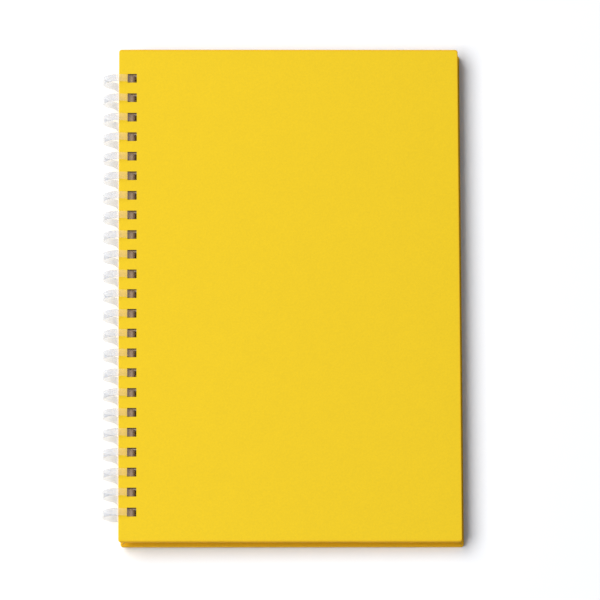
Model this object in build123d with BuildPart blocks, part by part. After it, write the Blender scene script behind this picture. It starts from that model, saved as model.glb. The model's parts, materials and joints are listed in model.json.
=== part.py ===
from build123d import *
import os
from math import asin, cos, degrees, hypot, radians, sin, sqrt

# A hard-cover notebook on a flat-band plastic coil, closed and lying on its back.
# +X points from the coil to the fore edge, +Y to the head, +Z up through the front cover.
# The origin is under the middle of the whole notebook, level with the coil's lowest line.

# Covers: grey board wrapped in coloured paper, lined on the inside
cover_width = 142.3
cover_height = 211.3
corner_radius = 1.2
board_thickness = 1.6
wrap_paper = 0.2
wrap_edge_bevel = 0.25
turn_in = 15.0
mitre_gap = 0.2
lining_paper = 0.15
lining_margin = 3.0
lining_spine_margin = 10.0

# Pages
sheet_thickness = 0.1
sheet_count = 50
page_recess = 3.0

# Punched holes, one for each turn of the coil, as many as fit between the margins at head and tail
hole_pitch = 8.467
hole_edge = 3.6
hole_play = 0.65
hole_end_margin = 11.0

# Coil band
band_width = 3.05
band_depth = 0.6
band_side_play = 0.36
band_clearance = 0.1
page_clearance = 0.2
tail_angle = 44.0
crossing_lead_angle = 2.5
crossing_steps = 8

# How the loose covers lie on the coil: the back cover towards the fore edge and the tail
cover_slip = 0.9
open_edge_gap = 0.34

cut_overrun = 1.0

# Heights through the stack
cover_thickness = wrap_paper + board_thickness + wrap_paper + lining_paper
page_thickness = sheet_thickness * sheet_count
stack_thickness = cover_thickness + page_thickness + cover_thickness

# Mitre slots of the turned-in corners, from inside the round corner to just past the turn-in's end
mitre_start = corner_radius / 2
mitre_end = turn_in + mitre_gap
mitre_length = (mitre_end - mitre_start) * sqrt(2)
mitre_middle = (mitre_end + mitre_start) / 2

hole_count = int((cover_height - 2 * hole_end_margin) // hole_pitch) + 1

# Spine edges, measured from the coil's axis
front_spine = (open_edge_gap - cover_slip) / 2
back_spine = (open_edge_gap + cover_slip) / 2

# The band clears the corner of the back cover's strip between edge and holes
coil_inner_radius = hypot(hole_edge + back_spine, stack_thickness / 2) + band_clearance
coil_radius = coil_inner_radius + band_depth / 2
coil_outer_radius = coil_inner_radius + band_depth

# The holes take the band's slant through a cover and its width, with play towards the fore edge and
# at both sides
band_reach = sqrt(coil_outer_radius**2 - (page_thickness / 2) ** 2)
hole_width = band_reach + hole_play - (hole_edge + front_spine)
hole_length = band_width + 2 * band_side_play
head_slip = band_side_play - band_clearance

# The pages are pushed to the fore edge, until their holes meet the inside of the band
page_spine = sqrt(coil_inner_radius**2 - (page_thickness / 2) ** 2) - page_clearance - hole_edge

# The coil's axis, which both covers turn on
overall_width = coil_outer_radius + back_spine + cover_width
axis_x = coil_outer_radius - overall_width / 2
axis_z = coil_outer_radius
coil_axis = Axis((axis_x, 0, axis_z), (0, -1, 0))

# Each turn is a flat ring from the back cover's hole, over the top, to where the open front
# cover's hole ends. Below, it crosses to the next hole, towards the tail.
hole_exit_angle = degrees(asin(stack_thickness / 2 / coil_inner_radius)) + crossing_lead_angle
ring_start = -hole_exit_angle
ring_end = 180 + hole_exit_angle
crossing_sweep = 360 - (ring_end - ring_start)
first_turn_y = hole_pitch * (hole_count - 1) / 2

os.makedirs("parts", exist_ok=True)


def leaf_plane(spine, slip, outward):
    """The plane of a cover's inner face: x from its spine edge, z towards its outer face."""
    height = axis_z + outward * page_thickness / 2
    return Plane((axis_x + spine, slip, height), (1, 0, 0), (0, 0, outward))


def punch(plane, thickness):
    """Cut the row of holes through the leaf that stands on the plane."""
    with BuildSketch(plane.offset(-cut_overrun)) as holes:
        with Locations((hole_edge + hole_width / 2, 0)):
            with GridLocations(hole_pitch, hole_pitch, 1, hole_count):
                Rectangle(hole_width, hole_length)
    extrude(holes.sketch, amount=thickness + 2 * cut_overrun, mode=Mode.SUBTRACT)


def sheet(plane, spine_margin, margin, thickness, mode):
    """Add or cut a rectangle of a cover, inside margins at the spine and at the other edges."""
    width = cover_width - spine_margin - margin
    with BuildSketch(plane) as outline:
        with Locations((spine_margin + width / 2, 0)):
            Rectangle(width, cover_height - 2 * margin)
    extrude(outline.sketch, amount=thickness, mode=mode)


def save(piece, label):
    """Label a finished piece and write it as one file."""
    piece.label = label
    export_step(piece, f"parts/{label}.step")


for side, spine, slip, outward in (
    ("front", front_spine, head_slip, 1),
    ("back", back_spine, -head_slip, -1),
):
    inner_face = leaf_plane(spine, slip, outward)
    turned_face = inner_face.offset(lining_paper)
    board_face = turned_face.offset(wrap_paper)

    # Grey board, with its corners rounded a little
    with BuildPart() as board:
        sheet(board_face, wrap_paper, wrap_paper, board_thickness, Mode.ADD)
        fillet(edges().filter_by(Axis.Z), corner_radius - wrap_paper)
        punch(inner_face, cover_thickness)

    # Cover paper, wrapped round the board's edges and mitred at the corners inside
    with BuildPart() as wrap:
        sheet(turned_face, 0, 0, wrap_paper + board_thickness + wrap_paper, Mode.ADD)
        fillet(edges().filter_by(Axis.Z), corner_radius)
        chamfer(faces().filter_by(Axis.Z).edges(), wrap_edge_bevel)
        add(board.part, mode=Mode.SUBTRACT)
        sheet(turned_face, turn_in, turn_in, wrap_paper, Mode.SUBTRACT)
        with BuildSketch(turned_face) as mitres:
            for corner, lean in (((0, -1), 45), ((0, 1), -45), ((1, -1), -45), ((1, 1), 45)):
                across = mitre_middle + corner[0] * (cover_width - 2 * mitre_middle)
                along = corner[1] * (cover_height / 2 - mitre_middle)
                with Locations((across, along)):
                    Rectangle(mitre_length, mitre_gap, rotation=lean)
        extrude(mitres.sketch, amount=wrap_paper, mode=Mode.SUBTRACT)
        punch(inner_face, cover_thickness)

    # Lining paper, clear of the holes, which lies on the turn-ins and dips to the board inside them
    with BuildPart() as lining:
        sheet(inner_face, lining_spine_margin, lining_margin, lining_paper, Mode.ADD)
        sheet(inner_face, turn_in, turn_in, lining_paper + wrap_paper, Mode.ADD)
        dip_margin = turn_in + lining_paper
        sheet(inner_face, dip_margin, dip_margin, wrap_paper, Mode.SUBTRACT)

    save(board.part, f"{side}_board")
    save(wrap.part, f"{side}_wrap")
    save(lining.part, f"{side}_lining")

# Page block: all the sheets as one block, set back from the covers' edges
page_width = front_spine + cover_width - page_recess - page_spine
page_height = cover_height - 2 * page_recess
page_plane = Plane((axis_x + page_spine, 0, axis_z - page_thickness / 2))
with BuildPart() as page_block:
    with BuildSketch(page_plane):
        with Locations((page_width / 2, 0)):
            Rectangle(page_width, page_height)
    extrude(amount=page_thickness)
    punch(page_plane, page_thickness)
save(page_block.part, "page_block")


def band_plane(angle, advance):
    """The plane through the coil's axis at an angle round it, with its origin in the band's middle.

    The plane's x runs along the spine. Advance is the distance gone from the first turn towards
    the tail.
    """
    turn = radians(angle)
    radial = Vector(cos(turn), 0, sin(turn))
    middle = Vector(axis_x, first_turn_y - advance, axis_z) + radial * coil_radius
    return Plane(middle, (0, 1, 0), (-sin(turn), 0, cos(turn)))


def ring(start, end, advance):
    """A flat stretch of the band between two angles round the axis."""
    with BuildSketch(band_plane(start, advance)) as section:
        Rectangle(band_width, band_depth)
    revolve(section.sketch, axis=coil_axis, revolution_arc=end - start)


# One turn at the head end: the ring, then the crossing to the next ring. At a share u of its way the
# crossing has gone 5u^4 - 4u^5 of the pitch, most of it under the back cover, and its cut along the
# spine widens with the slope, so that the band keeps its own width.
crossing_length = radians(crossing_sweep) * coil_radius
with BuildPart() as coil_turn:
    ring(ring_start, ring_end, 0)
    for step in range(crossing_steps + 1):
        way_share = step / crossing_steps
        advance = hole_pitch * (5 * way_share**4 - 4 * way_share**5)
        slope = hole_pitch / crossing_length * 20 * (way_share**3 - way_share**4)
        with BuildSketch(band_plane(ring_end + way_share * crossing_sweep, advance)):
            Rectangle(band_width * hypot(1, slope), band_depth)
    loft(ruled=True)

# Binding coil: the turns in one piece, with a cut tail under the back cover at each end
with BuildPart() as binding_coil:
    ring(ring_start - tail_angle, ring_start, 0)
    with Locations(*[(0, -turn * hole_pitch, 0) for turn in range(hole_count - 1)]):
        add(coil_turn.part)
    ring(ring_start, ring_end + tail_angle, hole_pitch * (hole_count - 1))
save(binding_coil.part, "binding_coil")
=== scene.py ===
"""Looks of a hard-cover notebook on a flat-band plastic coil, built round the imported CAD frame."""

import json
from math import asin, atan2, copysign, cos, pi, radians, sin

import bpy
import numpy as np
from bpy.props import FloatProperty, FloatVectorProperty, IntProperty, PointerProperty
from mathutils import Matrix, Vector


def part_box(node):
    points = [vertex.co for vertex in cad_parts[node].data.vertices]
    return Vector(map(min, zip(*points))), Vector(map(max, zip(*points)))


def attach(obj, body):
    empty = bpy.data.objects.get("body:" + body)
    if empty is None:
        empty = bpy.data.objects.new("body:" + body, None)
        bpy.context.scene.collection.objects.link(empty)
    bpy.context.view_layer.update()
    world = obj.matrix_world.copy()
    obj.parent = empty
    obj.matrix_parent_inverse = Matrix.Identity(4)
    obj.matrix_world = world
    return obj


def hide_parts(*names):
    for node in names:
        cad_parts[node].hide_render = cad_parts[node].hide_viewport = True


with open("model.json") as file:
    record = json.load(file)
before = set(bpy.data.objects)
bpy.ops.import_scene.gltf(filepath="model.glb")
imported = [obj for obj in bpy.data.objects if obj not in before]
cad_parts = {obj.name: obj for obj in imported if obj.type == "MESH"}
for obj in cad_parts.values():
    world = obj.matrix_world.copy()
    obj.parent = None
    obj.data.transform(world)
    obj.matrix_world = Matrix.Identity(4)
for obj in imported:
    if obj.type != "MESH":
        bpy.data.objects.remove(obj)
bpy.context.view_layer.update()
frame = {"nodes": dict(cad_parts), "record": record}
MM = 0.001

# Values at the coil's points, which its finish reads as masks of painted shade and painted light
BORDER = "border"
LOOP_SHADE = "loop_shade"
INSIDE_LIGHT = "inside"

# Fineness of the coil's mesh, and the angles past which the new pieces' edges stay sharp
ROWS_A_TURN = 90
ARC_POINTS = 6
SHEET_SHARP_ANGLE = radians(30)
COIL_SHARP_ANGLE = radians(40)

# Angles from sheet to sheet of the sines that stagger them, across and along the spine
STAGGER_STEPS = (12.99, 78.23)

# Sockets of a Mix node that mixes colours
MIX_FACTOR = 0
MIX_FIRST = 6
MIX_SECOND = 7
MIX_RESULT = 2

bl_info = {
    "name": "Coil-bound notebook",
    "version": (1, 0, 0),
    "blender": (4, 5, 0),
    "location": "View3D > Sidebar > Notebook",
    "description": "Dresses the covers, stacks the pages, winds the coil and sets the studio",
    "category": "Object",
}

# The coil's axis and the stack's faces, read from the frame
HINGE = frame["record"]["behaviour"]["joints"][0]["pos_m"]
AXIS_X, AXIS_Z = HINGE[0], HINGE[2]
COIL_LOW, COIL_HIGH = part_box("binding_coil")
PAGES_LOW, PAGES_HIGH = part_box("page_block")
FRONT_LOW, FRONT_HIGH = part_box("front_wrap")
BACK_LOW, BACK_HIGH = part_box("back_wrap")
COIL_RADIUS = COIL_HIGH.z - AXIS_Z


class NotebookCovers(bpy.types.PropertyGroup):
    """Finish of the paper-wrapped boards and their lining."""

    paper_colour: FloatVectorProperty(
        name="Cover paper",
        description="Colour of the paper wrapped round the boards",
        subtype="COLOR",
        size=3,
        default=(0.825, 0.565, 0.0125),
    )
    edge_shade_colour: FloatVectorProperty(
        name="Cover edges",
        # Painted shade: a deeper orange on the cover paper round its fore edge, head and tail, and where
        # it is turned in, as these faces look in shade
        description="Colour of the cover paper round its three handled edges, and where it is turned in",
        subtype="COLOR",
        size=3,
        default=(0.82, 0.44, 0.006),
    )
    edge_shade_rim: FloatProperty(
        name="Edge rim",
        # Width of the rim over which the paper turns to the colour of the painted shade
        description="Width of the rim over which the paper turns to the edges' colour",
        unit="LENGTH",
        default=2.0 * MM,
    )
    grain_size: FloatProperty(
        name="Paper grain",
        description="Size of the fine mottling on the cover paper",
        unit="LENGTH",
        default=0.7 * MM,
    )
    grain_depth: FloatProperty(
        name="Grain depth",
        description="Height of the cover paper's grain",
        unit="LENGTH",
        default=0.02 * MM,
    )
    board_colour: FloatVectorProperty(
        name="Grey board",
        description="Colour of the board that shows inside the punched holes",
        subtype="COLOR",
        size=3,
        default=(0.26, 0.22, 0.18),
    )
    lining_colour: FloatVectorProperty(
        name="Lining paper",
        description="Colour of the paper glued inside the covers",
        subtype="COLOR",
        size=3,
        default=(0.78, 0.74, 0.65),
    )


class NotebookPages(bpy.types.PropertyGroup):
    """Sheets of the page block."""

    sheet_count: IntProperty(
        name="Sheets",
        description="Number of loose sheets in the block",
        default=50,
    )
    sheet_gap_share: FloatProperty(
        name="Air between sheets",
        description="Share of a sheet's room that is air above it",
        subtype="FACTOR",
        default=0.2,
    )
    stagger: FloatProperty(
        name="Stagger",
        description="How far a sheet may lie off the stack's middle",
        unit="LENGTH",
        default=0.09 * MM,
    )
    hole_edge: FloatProperty(
        name="Hole edge",
        description="Distance from a sheet's spine edge to its holes",
        unit="LENGTH",
        default=3.6 * MM,
    )
    hole_width: FloatProperty(
        name="Hole width",
        description="Size of a hole across the spine",
        unit="LENGTH",
        default=3.846 * MM,
    )
    hole_length: FloatProperty(
        name="Hole length",
        description="Size of a hole along the spine",
        unit="LENGTH",
        default=3.77 * MM,
    )
    paper_colour: FloatVectorProperty(
        name="Page paper",
        description="Colour of the sheets",
        subtype="COLOR",
        size=3,
        default=(0.84, 0.79, 0.69),
    )
    flyleaf_colour: FloatVectorProperty(
        name="Flyleaf paper",
        # Colour of the first and the last sheet, a darker brown than the other sheets
        description="Colour of the first and the last sheet, of recycled paper",
        subtype="COLOR",
        size=3,
        default=(0.47, 0.34, 0.17),
    )


class NotebookCoil(bpy.types.PropertyGroup):
    """Flat band of the coil, and the pitch of the holes that it runs through."""

    band_width: FloatProperty(
        name="Band width",
        description="Width of the band along the spine",
        unit="LENGTH",
        default=3.05 * MM,
    )
    band_depth: FloatProperty(
        name="Band depth",
        description="Thickness of the band, measured out from the coil's axis",
        unit="LENGTH",
        default=0.6 * MM,
    )
    edge_radius: FloatProperty(
        name="Band edge radius",
        description="Rounding of the band's four edges",
        unit="LENGTH",
        default=0.2 * MM,
    )
    hole_pitch: FloatProperty(
        name="Hole pitch",
        description="Distance between two turns along the spine",
        unit="LENGTH",
        default=8.467 * MM,
    )
    crossing_lead: FloatProperty(
        name="Crossing lead",
        description="Angle past the cover's hole at which the band starts to cross to the next hole",
        subtype="ANGLE",
        default=radians(2.5),
    )
    tail_angle: FloatProperty(
        name="Tail",
        description="Length of the cut tail at each end, as an angle round the axis",
        subtype="ANGLE",
        default=radians(44),
    )
    plastic_colour: FloatVectorProperty(
        name="Coil plastic",
        description="Tint of the clear plastic where it lies over the covers",
        subtype="COLOR",
        size=3,
        default=(1.0, 0.78, 0.72),
    )
    loop_shade_colour: FloatVectorProperty(
        name="Coil loops",
        # Painted shade: a greyer tint on the loops that stand out past the spine, cool against the warm
        # light that bounces off the covers
        description="Tint of the loops that stand out past the spine, hazy from handling",
        subtype="COLOR",
        size=3,
        default=(0.36, 0.42, 0.51),
    )
    border_shade_colour: FloatVectorProperty(
        name="Coil borders",
        # Tint of the painted shade on the band's borders over the loops, standing in for the darker look
        # of clear plastic at its rounded edges
        description="Tint of the band's borders, where the plastic is seen edge on",
        subtype="COLOR",
        size=3,
        default=(0.5, 0.46, 0.5),
    )
    veil: FloatProperty(
        name="Veil",
        description="Share of the light that one face of the band holds back",
        subtype="FACTOR",
        default=0.06,
    )
    inside_light_colour: FloatVectorProperty(
        name="Coil in the holes",
        # Painted light: a lighter brown tint on the band inside the shaded holes, standing in for light
        # that passes through the plastic and the pages' colour it picks up there
        description="Tint of the band inside the holes, where it picks up the pages' colour",
        subtype="COLOR",
        size=3,
        default=(0.8, 0.6, 0.42),
    )
    inside_light_veil: FloatProperty(
        name="Inside veil",
        # Share of the light that the band holds back as well inside the holes, so that the painted
        # light's tint shows
        description="Share of the light that the band holds back as well inside the holes",
        subtype="FACTOR",
        default=0.5,
    )
    border_shade_veil: FloatProperty(
        name="Border veil",
        # Share of the light that the band's borders hold back as well, as painted shade
        description="Share of the light that the band's borders hold back as well",
        subtype="FACTOR",
        default=0.085,
    )
    loop_shade_veil: FloatProperty(
        name="Loop veil",
        # Share of the light that the loops hold back as well, as painted shade
        description="Share of the light that the hazy loops hold back as well",
        subtype="FACTOR",
        default=0.225,
    )


class NotebookStudio(bpy.types.PropertyGroup):
    """Floor, light and camera."""

    camera_elevation: FloatProperty(
        name="Camera elevation",
        description="Height of the camera above the horizon, seen from the notebook",
        subtype="ANGLE",
        default=radians(76),
    )
    camera_side: FloatProperty(
        name="Camera side",
        description="Angle of the camera round the notebook, from the tail towards the spine",
        subtype="ANGLE",
        default=radians(4.1),
    )
    camera_distance: FloatProperty(
        name="Camera distance",
        description="Distance from the camera to the point that it looks at",
        unit="LENGTH",
        default=3.06,
    )
    camera_lens: FloatProperty(
        name="Focal length",
        description="Focal length on a sensor 36 mm wide",
        subtype="DISTANCE_CAMERA",
        default=440.6,
    )
    camera_aim: FloatVectorProperty(
        name="Camera aim",
        description="Point that the camera looks at",
        subtype="TRANSLATION",
        unit="LENGTH",
        size=3,
        default=(7.31 * MM, -2.45 * MM, 11.4 * MM),
    )
    floor_size: FloatProperty(
        name="Floor size",
        description="Length of the floor's sides",
        unit="LENGTH",
        default=4.0,
    )
    floor_colour: FloatVectorProperty(
        name="Floor colour",
        description="Colour of the pale floor",
        subtype="COLOR",
        size=3,
        default=(0.97, 0.98, 0.995),
    )
    key_power: FloatProperty(
        name="Key light",
        description="Power of the soft light at the left",
        unit="POWER",
        default=68.8,
    )
    key_colour: FloatVectorProperty(
        name="Key light colour",
        description="Warm tint of the soft light",
        subtype="COLOR",
        size=3,
        default=(1.0, 0.965, 0.925),
    )
    key_place: FloatVectorProperty(
        name="Key light place",
        description="Middle of the soft light",
        subtype="TRANSLATION",
        unit="LENGTH",
        size=3,
        default=(-1.16, 0.14, 1.86),
    )
    key_length: FloatProperty(
        name="Key light length",
        description="Length of the soft light, along the notebook's spine",
        unit="LENGTH",
        default=2.64,
    )
    key_height: FloatProperty(
        name="Key light height",
        description="Height of the soft light",
        unit="LENGTH",
        default=1.54,
    )
    fill_strength: FloatProperty(
        name="Fill light",
        description="Strength of the even light from all round",
        default=0.247,
    )
    fill_colour: FloatVectorProperty(
        name="Fill light colour",
        description="Cool tint of the even light",
        subtype="COLOR",
        size=3,
        default=(0.615, 0.77, 1.0),
    )


class Wire:
    """An output socket of a finish's nodes. Sums on it, with numbers or other wires, add Math nodes."""

    def __init__(self, finish, socket):
        self.finish = finish
        self.socket = socket

    def math(self, operation, first, second):
        """Add a Math node on two wires or numbers."""
        return self.finish.add("Math", {"operation": operation}, {0: first, 1: second})

    def __abs__(self):
        return self.finish.add("Math", {"operation": "ABSOLUTE"}, {0: self})

    def __add__(self, other):
        return self.math("ADD", self, other)

    def __radd__(self, other):
        return self.math("ADD", other, self)

    def __sub__(self, other):
        return self.math("SUBTRACT", self, other)

    def __rsub__(self, other):
        return self.math("SUBTRACT", other, self)

    def __mul__(self, other):
        return self.math("MULTIPLY", self, other)

    def __rmul__(self, other):
        return self.math("MULTIPLY", other, self)

    def __gt__(self, other):
        return self.math("GREATER_THAN", self, other)

    def __lt__(self, other):
        return self.math("LESS_THAN", self, other)


class Finish:
    """A material with one Principled shader, and the one method that adds nodes to it."""

    def __init__(self, name, **shader_values):
        self.material = bpy.data.materials.new(name)
        self.material.use_nodes = True
        self.tree = self.material.node_tree
        self.shader = self.tree.nodes["Principled BSDF"]
        for socket_name, value in shader_values.items():
            self.shader.inputs[socket_name.replace("_", " ")].default_value = value

    def add(self, kind, settings=None, sockets=None, output=0):
        """Add a node of a kind: its settings first, then its sockets' values or wires."""
        node = self.tree.nodes.new("ShaderNode" + kind)
        for key, value in (settings or {}).items():
            setattr(node, key, value)
        for key, value in (sockets or {}).items():
            self.plug(node.inputs[key], value)
        return Wire(self, node.outputs[output])

    def plug(self, socket, value):
        """Link a wire to an input socket, or set the socket to a plain value."""
        if isinstance(value, Wire):
            self.tree.links.new(value.socket, socket)
        else:
            socket.default_value = value

    def feed(self, **sockets):
        """Plug values or wires into the shader."""
        for socket_name, value in sockets.items():
            self.plug(self.shader.inputs[socket_name.replace("_", " ")], value)

    def place(self, axis):
        """How far along an axis a point lies, in the piece's own coordinates."""
        point = self.add("TexCoord", output="Object")
        return self.add("SeparateXYZ", {}, {0: point}, output=axis)

    def noise(self, size, detail=2.0, roughness=0.5, stretch=(1, 1, 1)):
        """Noise from 0 to 1 in the piece's own coordinates, with features of about that size."""
        place = self.add("TexCoord", output="Object")
        place = self.add("Mapping", {"vector_type": "POINT"}, {"Vector": place, "Scale": stretch})
        values = {"Vector": place, "Scale": 1 / size, "Detail": detail, "Roughness": roughness}
        return self.add("TexNoise", {"noise_dimensions": "3D"}, values, output="Fac")

    def blend(self, factor, first, second):
        """A colour between two colours, each a wire or a plain colour."""
        ends = [end if isinstance(end, Wire) else (*end, 1) for end in (first, second)]
        sockets = {MIX_FACTOR: factor, MIX_FIRST: ends[0], MIX_SECOND: ends[1]}
        return self.add("Mix", {"data_type": "RGBA"}, sockets, output=MIX_RESULT)

    def mottle(self, factor, colour, spread):
        """A colour that turns from darker to lighter by a share, as the factor goes from 0 to 1."""
        return self.blend(factor, tone(colour, 1 - spread), tone(colour, 1 + spread))

    def bump(self, height, depth):
        """Surface detail from a height wire of 0 to 1, as deep as the given length."""
        normal = self.add("Bump", {}, {"Strength": 1.0, "Distance": depth, "Height": height})
        self.feed(Normal=normal)


def tone(colour, share):
    """A colour made lighter or darker by a share."""
    return tuple(min(channel * share, 1.0) for channel in colour)


def edge_shade_share(finish, low, high, rim):
    """Mask of the painted shade round a cover's edges: how near a point lies to its fore edge, head or
    tail, 0 inside the rim, 1 at the edge.

    It is the square of the share of the rim that is gone towards the fore edge, plus the same towards
    the head or the tail, which follows the round corners, squared once more.
    """
    off_middle = abs(finish.place("Y") - (low.y + high.y) / 2)
    share = {"operation": "DIVIDE", "use_clamp": True}
    across_share = finish.add("Math", share, {0: finish.place("X") - (high.x - rim), 1: rim})
    along_share = finish.add("Math", share, {0: off_middle - ((high.y - low.y) / 2 - rim), 1: rim})
    squares = across_share * across_share + along_share * along_share
    return squares * squares


def turn_in_shade(finish, low, high):
    """1 on the face of a cover's paper that is turned in towards the pages, and 0 everywhere else: the
    mask of the painted shade on the turn-ins.
    """
    face_start = 0.9
    middle = (low.z + high.z) / 2
    towards_pages = copysign(1, AXIS_Z - middle)
    depth = towards_pages * (finish.place("Z") - middle)
    return depth > face_start * (high.z - low.z) / 2


def cover_paper(name, look, low, high):
    """Matte dyed paper: fine mottling, soft clouds of tone, painted shade as a deeper orange on the
    edges and turn-ins, shallow grain.
    """
    clouds_to_grain = 12
    grain_part = 0.85
    paper_spread = 0.1
    edge_shade_spread = 0.15
    lowest_roughness = 0.62
    roughness_spread = 0.2
    finish = Finish(name, Specular_IOR_Level=0.2)
    grain = finish.noise(look.grain_size, detail=3.0, roughness=0.6)
    clouds = finish.noise(clouds_to_grain * look.grain_size, detail=2.0)
    shade = grain_part * grain + (1 - grain_part) * clouds
    colour = finish.mottle(shade, look.paper_colour, paper_spread)
    edge_shade_colour = finish.mottle(shade, look.edge_shade_colour, edge_shade_spread)
    # Painted shade: the edges and turn-ins turn a deeper orange, as they look in shade
    painted_shade = edge_shade_share(finish, low, high, look.edge_shade_rim) + turn_in_shade(finish, low, high)
    finish.feed(
        Base_Color=finish.blend(painted_shade, colour, edge_shade_colour),
        Roughness=lowest_roughness + roughness_spread * grain,
    )
    finish.bump(grain, look.grain_depth)
    return finish.material


def grey_board(look):
    """Pulp board: coarse fibres in two greys."""
    fibre_size = 0.25 * MM
    fibre_height = 0.05 * MM
    grey_spread = 0.4
    lowest_roughness = 0.85
    roughness_spread = 0.1
    finish = Finish("grey_board", IOR=1.45)
    fibres = finish.noise(fibre_size, detail=4.0, roughness=0.7, stretch=(1, 1, 3))
    colour = finish.mottle(fibres, look.board_colour, grey_spread)
    finish.feed(Base_Color=colour, Roughness=lowest_roughness + roughness_spread * fibres)
    finish.bump(fibres, fibre_height)
    return finish.material


def plain_paper(name, colour, flyleaf=None, flyleaf_depth=0):
    """Uncoated paper: faint fibres and a faint cloudy look-through.

    Flyleaf is the colour of what lies less than a depth below the top or above the bottom of the pages.
    """
    fibre_size = 0.4 * MM
    fibre_height = 0.01 * MM
    cloud_size = 6 * MM
    fibre_part = 0.6
    paper_spread = 0.05
    flyleaf_spread = 0.2
    lowest_roughness = 0.75
    roughness_spread = 0.15
    finish = Finish(name, IOR=1.45)
    fibres = finish.noise(fibre_size, detail=3.0, roughness=0.65, stretch=(1, 0.35, 1))
    clouds = finish.noise(cloud_size, detail=2.0)
    shade = fibre_part * fibres + (1 - fibre_part) * clouds
    colours = finish.mottle(shade, colour, paper_spread)
    if flyleaf is not None:
        off_middle = abs(finish.place("Z") - (PAGES_LOW.z + PAGES_HIGH.z) / 2)
        outside = off_middle > (PAGES_HIGH.z - PAGES_LOW.z) / 2 - flyleaf_depth
        colours = finish.blend(outside, colours, finish.mottle(shade, flyleaf, flyleaf_spread))
    finish.feed(Base_Color=colours, Roughness=lowest_roughness + roughness_spread * fibres)
    finish.bump(fibres, fibre_height)
    return finish.material


def clear_plastic(look):
    """Clear plastic as a thin veil: a little hazy, with painted shade as a denser veil on its borders
    and loops, greyer on the loops, and painted light as a lighter brown veil in the holes.

    A tenth of the value for the loops already gives the loops' full painted shade tint.
    """
    haze_size = 0.8 * MM
    haze_height = 0.01 * MM
    haze_spread = 0.2
    loop_shade_gain = 10.0
    border_shade_part = 0.6
    lowest_roughness = 0.22
    roughness_spread = 0.12
    finish = Finish("clear_coil", IOR=1.46)
    border = finish.add("Attribute", {"attribute_name": BORDER}, output="Fac")
    loop_shade = finish.add("Attribute", {"attribute_name": LOOP_SHADE}, output="Fac")
    inside = finish.add("Attribute", {"attribute_name": INSIDE_LIGHT}, output="Fac")
    haze = finish.noise(haze_size, detail=2.0)
    # Painted shade: the loops take a greyer, cooler tint and a denser veil, strongest on their upper
    # side
    tint = finish.blend(loop_shade_gain * loop_shade, look.plastic_colour, look.loop_shade_colour)
    # Painted light: a lighter brown tint and a denser veil on the band inside the shaded holes
    tint = finish.blend(inside, tint, look.inside_light_colour)
    hazy_veil = look.veil * (1 - haze_spread + 2 * haze_spread * haze)
    # Painted shade: a denser veil on the band's borders, and a grey tint on them over the loops
    veil = hazy_veil + look.border_shade_veil * border
    finish.feed(
        Base_Color=finish.blend(border_shade_part * border * loop_shade, tint, look.border_shade_colour),
        Roughness=lowest_roughness + roughness_spread * haze,
        Alpha=veil + look.loop_shade_veil * loop_shade + look.inside_light_veil * inside,
    )
    finish.bump(haze, haze_height)
    return finish.material


def dress(node, material):
    """Give a CAD node a finish."""
    slots = frame["nodes"][node].data.materials
    slots.clear()
    slots.append(material)


def new_piece(name, points, faces, material, sharp_angle):
    """A mesh object at the origin, from arrays of points and faces, smooth but for its sharp edges."""
    mesh = bpy.data.meshes.new(name)
    mesh.from_pydata(points, [], faces)
    mesh.materials.append(material)
    mesh.shade_smooth()
    mesh.set_sharp_from_angle(angle=sharp_angle)
    piece = bpy.data.objects.new(name, mesh)
    bpy.context.scene.collection.objects.link(piece)
    return piece


def rounded_profile(width, depth, radius, arc_points):
    """Closed outline of a rectangle with round corners, anticlockwise.

    Each corner's quarter circle stands at the corner of the inner rectangle that is smaller by the
    radius on each side.
    """
    turn = np.linspace(0, pi / 2, arc_points)
    quarter = np.arange(4)[:, None] * pi / 2 + turn
    across = np.sign(np.cos(quarter.mean(axis=1)))[:, None] * (width / 2 - radius)
    up = np.sign(np.sin(quarter.mean(axis=1)))[:, None] * (depth / 2 - radius)
    return (across + radius * np.cos(quarter)).ravel(), (up + radius * np.sin(quarter)).ravel()


def tube_faces(rows, columns):
    """Quads between neighbouring rows of a closed profile, and one face over each end."""
    row, column = np.meshgrid(np.arange(rows - 1), np.arange(columns), indexing="ij")
    beside = (column + 1) % columns
    quads = np.stack(
        [
            row * columns + column,
            row * columns + beside,
            (row + 1) * columns + beside,
            (row + 1) * columns + column,
        ],
        axis=-1,
    ).reshape(-1, 4)
    first_end = np.arange(columns)[::-1]
    last_end = (rows - 1) * columns + np.arange(columns)
    return quads.tolist() + [first_end.tolist(), last_end.tolist()]


def hole_count(pitch):
    """The number of holes along the spine, one for each of the coil's turns."""
    return round((COIL_HIGH.y - COIL_LOW.y) / pitch) + 1


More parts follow.
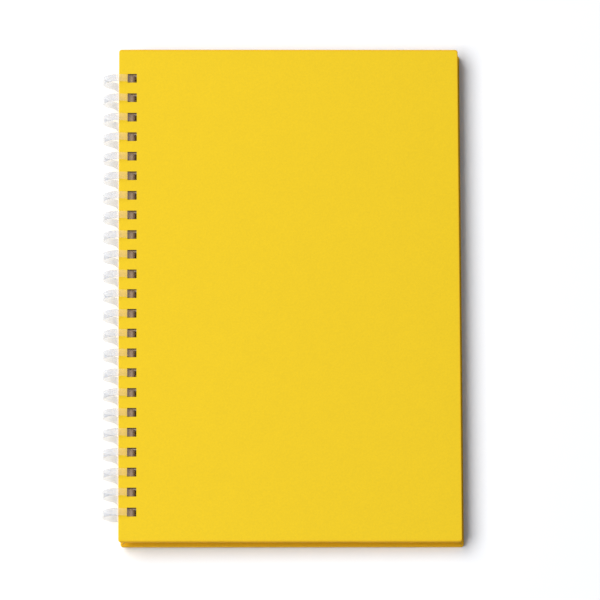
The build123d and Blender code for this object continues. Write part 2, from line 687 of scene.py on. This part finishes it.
def sheet_surface(look, pitch):
    """Points and quads of the stack of loose sheets.

    The lines of a sheet's grid run along its edges and its holes' edges. Each cell of the grid that is
    not a hole is a face, above and below, and a wall stands on each side of it with no face beside it.
    A sheet lies off the stack's middle by the stagger times a sine of its number, and is smaller than
    the stack by the stagger all round.
    """
    holes = hole_count(pitch)
    middles = (np.arange(holes) - (holes - 1) / 2) * pitch
    hole_start = PAGES_LOW.x + look.hole_edge
    across = np.array([PAGES_LOW.x, hole_start, hole_start + look.hole_width, PAGES_HIGH.x])
    across += look.stagger * np.array([1, 0, 0, -1])
    hole_ends = (middles[:, None] + look.hole_length / 2 * np.array([-1, 1])).ravel()
    along = np.concatenate([[PAGES_LOW.y + look.stagger], hole_ends, [PAGES_HIGH.y - look.stagger]])

    number = np.arange(look.sheet_count)
    slip = look.stagger * np.sin(np.outer(STAGGER_STEPS, number))
    slip_across, slip_along = slip[..., None, None, None]
    room = (PAGES_HIGH.z - PAGES_LOW.z) / look.sheet_count
    lower = PAGES_LOW.z + number * room
    levels = np.stack([lower, lower + room * (1 - look.sheet_gap_share)], axis=-1)
    grid = (look.sheet_count, 2, len(across), len(along))
    points = np.empty((*grid, 3))
    points[..., 0] = across[:, None] + slip_across
    points[..., 1] = along + slip_along
    points[..., 2] = levels[:, :, None, None]

    paper = np.ones((len(across) - 1, len(along) - 1), dtype=bool)
    paper[1, 1::2] = False
    index = np.arange(2 * len(across) * len(along)).reshape(grid[1:])
    low, high = index
    cell = (slice(None, -1), slice(1, None))
    corners = [(cell[0], cell[0]), (cell[1], cell[0]), (cell[1], cell[1]), (cell[0], cell[1])]
    top = np.stack([high[corner][paper] for corner in corners], axis=-1)
    bottom = np.stack([low[corner][paper] for corner in corners[::-1]], axis=-1)
    around = np.pad(paper, 1)
    beside = (around[1:-1, :-2], around[2:, 1:-1], around[1:-1, 2:], around[:-2, 1:-1])
    walls = [
        np.stack([high[end], high[start], low[start], low[end]], axis=-1)[paper & ~neighbour]
        for start, end, neighbour in zip(corners, corners[1:] + corners[:1], beside)
    ]
    quads = np.concatenate([top, bottom, *walls])
    faces = quads + (number * index.size)[:, None, None]
    return points.reshape(-1, 3), faces.reshape(-1, 4).tolist()


def coil_surface(look):
    """Points and faces of the coil's band: a rounded section carried round the axis.

    Each turn is a flat ring from just below the back cover's hole, over the top, to the same place on
    the other side. Below, at a share u of its way, the band has gone 5u^4 - 4u^5 of the pitch towards
    the tail, and the section widens along the spine with that slope, so that the band keeps its width.
    The last rows at both tails shrink towards the middle of the section, which rounds the cut.
    The last array is how far out each point lies, from 0 in the band's middle to 1 at its edges.
    """
    inner_radius = COIL_RADIUS - look.band_depth
    ring_overrun = asin((FRONT_HIGH.z - AXIS_Z) / inner_radius) + look.crossing_lead
    ring_start = -ring_overrun
    ring_end = pi + ring_overrun
    sweep = 2 * pi - (ring_end - ring_start)
    turns = hole_count(look.hole_pitch)
    middle_radius = COIL_RADIUS - look.band_depth / 2

    first = ring_start - look.tail_angle
    last = 2 * pi * (turns - 1) + ring_end + look.tail_angle
    angle = np.linspace(first, last, ROWS_A_TURN * turns)
    turn = np.clip(np.floor((angle - ring_start) / (2 * pi)), 0, turns - 1)
    crosses = (angle > ring_start) & (turn < turns - 1)
    u = np.where(crosses, np.clip((angle - 2 * pi * turn - ring_end) / sweep, 0, 1), 0)
    advance = look.hole_pitch * (turn + 5 * u**4 - 4 * u**5)
    slope = look.hole_pitch / (sweep * middle_radius) * 20 * (u**3 - u**4)

    reach = np.minimum(angle - first, last - angle) * middle_radius
    round_off = np.sqrt(1 - np.clip(1 - reach / look.edge_radius, 0, 1) ** 2)
    along, out = rounded_profile(look.band_width, look.band_depth, look.edge_radius, ARC_POINTS)
    end_share = 1 - (1 - round_off) * look.edge_radius / (look.band_depth / 2)
    spine = along * (np.hypot(1, slope) * end_share)[:, None]
    radius = middle_radius + out * end_share[:, None]

    first_y = COIL_HIGH.y - look.band_width / 2
    points = np.stack(
        [
            AXIS_X + radius * np.cos(angle)[:, None],
            first_y - advance[:, None] - spine,
            AXIS_Z + radius * np.sin(angle)[:, None],
        ],
        axis=-1,
    )
    width_share = np.tile(np.abs(along) / (look.band_width / 2), len(angle))
    return points.reshape(-1, 3), tube_faces(len(angle), len(along)), width_share


def coil_marks(points, width_share, hole_middle):
    """Values from 0 to 1 at the coil's points, which its finish reads as masks of painted shade and
    painted light.

    The border value, the mask of painted shade on the band's borders, goes from 0 to 1 over the outer
    part of the band's half width, and fades from the spine edge of the front cover to a tenth at the
    coil's outermost line. The value for the loops, the mask of their painted shade, goes from 0 to
    1 just past the spine edge of the front cover, times 1 at the top of the coil, falling evenly to 0.2
    at its bottom, which already lies in more shade. The inside value, the mask of painted light in the
    holes, goes from 0 to 1 across the middle of the front cover's holes.
    """
    border_start = 0.75
    border_ramp = 0.2
    outermost_border = 0.1
    loop_start = 0.2 * MM
    loop_ramp = 1.0 * MM
    bottom_loop_shade = 0.2
    hole_ramp = 1.0 * MM
    past_spine = FRONT_LOW.x - points[:, 0]
    outward = np.clip(past_spine / (FRONT_LOW.x - COIL_LOW.x), 0, 1)
    upward = (points[:, 2] - COIL_LOW.z) / (COIL_HIGH.z - COIL_LOW.z)
    border = np.clip((width_share - border_start) / border_ramp, 0, 1)
    loop_shade = np.clip((past_spine - loop_start) / loop_ramp, 0, 1)
    return {
        BORDER: border * (1 - (1 - outermost_border) * outward),
        # Painted shade on the loops, strongest on their upper side, as their lower side already lies in
        # shade
        LOOP_SHADE: loop_shade * (bottom_loop_shade + (1 - bottom_loop_shade) * upward),
        INSIDE_LIGHT: np.clip((-past_spine - hole_middle) / hole_ramp + 1 / 2, 0, 1),
    }


def lay_floor(scene, look):
    """A pale floor through the coil's lowest line and the back cover's fore edge, which rest on it."""
    cloud_size = 0.3
    cloud_spread = 0.005
    rise = atan2(BACK_LOW.z - COIL_LOW.z, BACK_HIGH.x - AXIS_X)
    across = Vector((cos(rise), 0, sin(rise))) * look.floor_size / 2
    along = Vector((0, look.floor_size / 2, 0))
    middle = Vector((AXIS_X, 0, COIL_LOW.z))
    ends = ((-1, -1), (1, -1), (1, 1), (-1, 1))
    corners = [middle + side * across + end * along for side, end in ends]
    mesh = bpy.data.meshes.new("floor")
    mesh.from_pydata(corners, [], [(0, 1, 2, 3)])
    finish = Finish("pale_floor", Roughness=0.9)
    clouds = finish.noise(cloud_size, detail=1.0)
    finish.feed(Base_Color=finish.mottle(clouds, look.floor_colour, cloud_spread))
    mesh.materials.append(finish.material)
    floor = bpy.data.objects.new("floor", mesh)
    scene.collection.objects.link(floor)


def light_studio(scene, look):
    """A long soft key light at the left, a little warm, and even light from all round, a little cool."""
    key = bpy.data.lights.new("key", "AREA")
    key.energy = look.key_power
    key.color = look.key_colour
    key.shape = "RECTANGLE"
    key.size = look.key_length
    key.size_y = look.key_height
    lamp = bpy.data.objects.new("key", key)
    lamp.location = look.key_place
    lamp.rotation_euler = (Vector(look.camera_aim) - lamp.location).to_track_quat("-Z", "Y").to_euler()
    scene.collection.objects.link(lamp)

    world = bpy.data.worlds.new("studio")
    world.use_nodes = True
    sky = world.node_tree.nodes["Background"]
    sky.inputs["Color"].default_value = (*look.fill_colour, 1)
    sky.inputs["Strength"].default_value = look.fill_strength
    scene.world = world


def place_camera(scene, look):
    """A long lens that looks down from a little towards the tail and the spine, level with the tail."""
    lens = bpy.data.cameras.new("camera")
    lens.lens = look.camera_lens
    lens.sensor_width = 36
    lens.clip_end = 100
    camera = bpy.data.objects.new("camera", lens)
    aside = Vector((-sin(look.camera_side), -cos(look.camera_side), 0))
    back = cos(look.camera_elevation) * aside + sin(look.camera_elevation) * Vector((0, 0, 1))
    right = Vector((1, 0, 0))
    right = (right - right.dot(back) * back).normalized()
    camera.location = Vector(look.camera_aim) + look.camera_distance * back
    camera.rotation_euler = Matrix((right, back.cross(right), back)).transposed().to_euler()
    scene.collection.objects.link(camera)
    scene.camera = camera


class NOTEBOOK_OT_dress_covers(bpy.types.Operator):
    """Give both covers' boards, wrapped paper and lining their finishes"""

    bl_idname = "notebook.dress_covers"
    bl_label = "Dress the covers"

    def execute(self, context):
        look = context.scene.notebook_covers
        board = grey_board(look)
        lining = plain_paper("lining_paper", look.lining_colour)
        for side in ("front", "back"):
            dress(f"{side}_wrap", cover_paper(f"{side}_cover_paper", look, *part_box(f"{side}_wrap")))
            dress(f"{side}_board", board)
            dress(f"{side}_lining", lining)
        return {"FINISHED"}


class NOTEBOOK_OT_stack_pages(bpy.types.Operator):
    """Stack the loose sheets of the page block"""

    bl_idname = "notebook.stack_pages"
    bl_label = "Stack the pages"

    def execute(self, context):
        look = context.scene.notebook_pages
        points, faces = sheet_surface(look, context.scene.notebook_coil.hole_pitch)
        sheet_room = (PAGES_HIGH.z - PAGES_LOW.z) / look.sheet_count
        material = plain_paper("page_paper", look.paper_colour, look.flyleaf_colour, sheet_room)
        sheets = new_piece("loose_sheets", points, faces, material, SHEET_SHARP_ANGLE)
        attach(sheets, "pages")
        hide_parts("page_block")
        return {"FINISHED"}


class NOTEBOOK_OT_wind_coil(bpy.types.Operator):
    """Wind the coil's band through the holes"""

    bl_idname = "notebook.wind_coil"
    bl_label = "Wind the coil"

    def execute(self, context):
        look = context.scene.notebook_coil
        pages = context.scene.notebook_pages
        points, faces, width_share = coil_surface(look)
        marks = coil_marks(points, width_share, pages.hole_edge + pages.hole_width / 2)
        coil = new_piece("coil_band", points, faces, clear_plastic(look), COIL_SHARP_ANGLE)
        for mark, values in marks.items():
            coil.data.attributes.new(mark, "FLOAT", "POINT").data.foreach_set("value", values)
        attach(coil, "back_cover")
        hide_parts("binding_coil")
        return {"FINISHED"}


class NOTEBOOK_OT_set_studio(bpy.types.Operator):
    """Lay the floor under the notebook, light it and place the camera"""

    bl_idname = "notebook.set_studio"
    bl_label = "Set the studio"

    def execute(self, context):
        scene = context.scene
        look = scene.notebook_studio
        scene.view_settings.view_transform = "Standard"
        lay_floor(scene, look)
        light_studio(scene, look)
        place_camera(scene, look)
        return {"FINISHED"}


class NOTEBOOK_PT_sidebar(bpy.types.Panel):
    """The notebook's steps and sizes"""

    bl_idname = "NOTEBOOK_PT_sidebar"
    bl_label = "Notebook"
    bl_space_type = "VIEW_3D"
    bl_region_type = "UI"
    bl_category = "Notebook"

    def draw(self, context):
        for group, operator in STEPS:
            box = self.layout.box()
            settings = getattr(context.scene, group)
            for key in settings.__annotations__:
                box.prop(settings, key)
            box.operator(operator.bl_idname)


SETTINGS = {
    "notebook_covers": NotebookCovers,
    "notebook_pages": NotebookPages,
    "notebook_coil": NotebookCoil,
    "notebook_studio": NotebookStudio,
}
STEPS = (
    ("notebook_covers", NOTEBOOK_OT_dress_covers),
    ("notebook_pages", NOTEBOOK_OT_stack_pages),
    ("notebook_coil", NOTEBOOK_OT_wind_coil),
    ("notebook_studio", NOTEBOOK_OT_set_studio),
)


def register():
    """Register the settings, the steps and the panel."""
    for name, group in SETTINGS.items():
        bpy.utils.register_class(group)
        setattr(bpy.types.Scene, name, PointerProperty(type=group))
    for _, operator in STEPS:
        bpy.utils.register_class(operator)
    bpy.utils.register_class(NOTEBOOK_PT_sidebar)


def unregister():
    """Take it all out again."""
    bpy.utils.unregister_class(NOTEBOOK_PT_sidebar)
    for _, operator in STEPS:
        bpy.utils.unregister_class(operator)
    for name, group in SETTINGS.items():
        delattr(bpy.types.Scene, name)
        bpy.utils.unregister_class(group)


def main():
    """Build the notebook's looks step by step."""
    register()
    bpy.ops.notebook.dress_covers()
    bpy.ops.notebook.stack_pages()
    bpy.ops.notebook.wind_coil()
    bpy.ops.notebook.set_studio()


if __name__ == "__main__":
    main()
